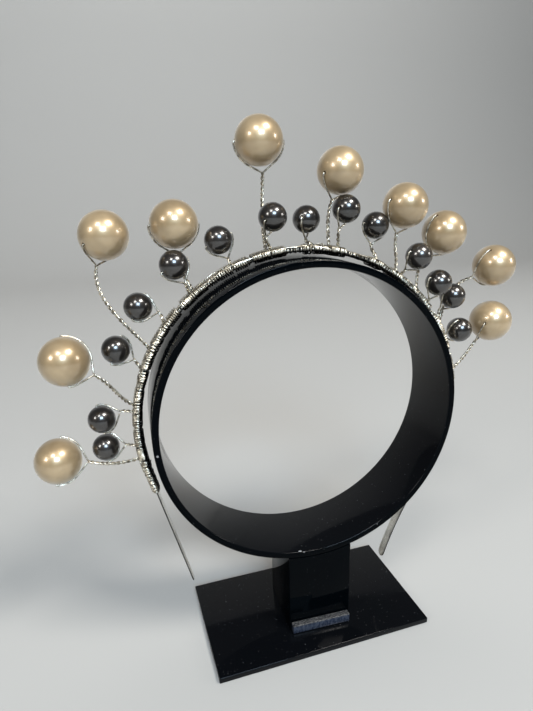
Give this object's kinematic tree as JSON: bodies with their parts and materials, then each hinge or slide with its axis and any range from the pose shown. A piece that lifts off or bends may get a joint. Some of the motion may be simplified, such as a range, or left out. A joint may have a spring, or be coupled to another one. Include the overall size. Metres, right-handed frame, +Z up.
{
  "type": "pearl headband on ring display stand",
  "caption": "Slim wire-wound headband with champagne and dark grey pearls on twisted wire stems, resting over the ring of a black acrylic display stand.",
  "frame": {"origin": "middle of the base plate's underside, on the surface that the stand rests on", "axes": "+Z up, -Y to the front of the ring, +X to the right as seen from the front"},
  "size_m": [0.2304, 0.066, 0.2404],
  "materials": {
    "black_acrylic": "polished black acrylic with a mirror gloss",
    "clear_acrylic": "clear acrylic with a frosted sawn top",
    "steel_strip": "flat spring strip, softly polished",
    "silver_wire": "silver-coloured craft wire, a little tarnished between the turns",
    "champagne_pearl": "champagne imitation pearl with a soft nacre lustre",
    "gunmetal_pearl": "dark grey imitation pearl with a high lustre"
  },
  "bodies": {
    "root": {"stand_base": "black_acrylic", "stand_post": "black_acrylic", "stand_ring": "black_acrylic", "stand_cleat": "clear_acrylic", "band_strip": "steel_strip", "band_winding": "silver_wire", "pearl_01": "champagne_pearl", "pearl_wire_01": "silver_wire", "pearl_02": "champagne_pearl", "pearl_wire_02": "silver_wire", "pearl_03": "champagne_pearl", "pearl_wire_03": "silver_wire", "pearl_04": "champagne_pearl", "pearl_wire_04": "silver_wire", "pearl_05": "champagne_pearl", "pearl_wire_05": "silver_wire", "pearl_06": "champagne_pearl", "pearl_wire_06": "silver_wire", "pearl_07": "champagne_pearl", "pearl_wire_07": "silver_wire", "pearl_08": "champagne_pearl", "pearl_wire_08": "silver_wire", "pearl_09": "champagne_pearl", "pearl_wire_09": "silver_wire", "pearl_10": "champagne_pearl", "pearl_wire_10": "silver_wire", "dark_pearl_01": "gunmetal_pearl", "dark_pearl_wire_01": "silver_wire", "dark_pearl_02": "gunmetal_pearl", "dark_pearl_wire_02": "silver_wire", "dark_pearl_03": "gunmetal_pearl", "dark_pearl_wire_03": "silver_wire", "dark_pearl_04": "gunmetal_pearl", "dark_pearl_wire_04": "silver_wire", "dark_pearl_05": "gunmetal_pearl", "dark_pearl_wire_05": "silver_wire", "dark_pearl_06": "gunmetal_pearl", "dark_pearl_wire_06": "silver_wire", "dark_pearl_07": "gunmetal_pearl", "dark_pearl_wire_07": "silver_wire", "dark_pearl_08": "gunmetal_pearl", "dark_pearl_wire_08": "silver_wire", "dark_pearl_09": "gunmetal_pearl", "dark_pearl_wire_09": "silver_wire", "dark_pearl_10": "gunmetal_pearl", "dark_pearl_wire_10": "silver_wire", "dark_pearl_11": "gunmetal_pearl", "dark_pearl_wire_11": "silver_wire", "dark_pearl_12": "gunmetal_pearl", "dark_pearl_wire_12": "silver_wire", "dark_pearl_13": "gunmetal_pearl", "dark_pearl_wire_13": "silver_wire", "dark_pearl_14": "gunmetal_pearl", "dark_pearl_wire_14": "silver_wire"}
  },
  "joints": []
}
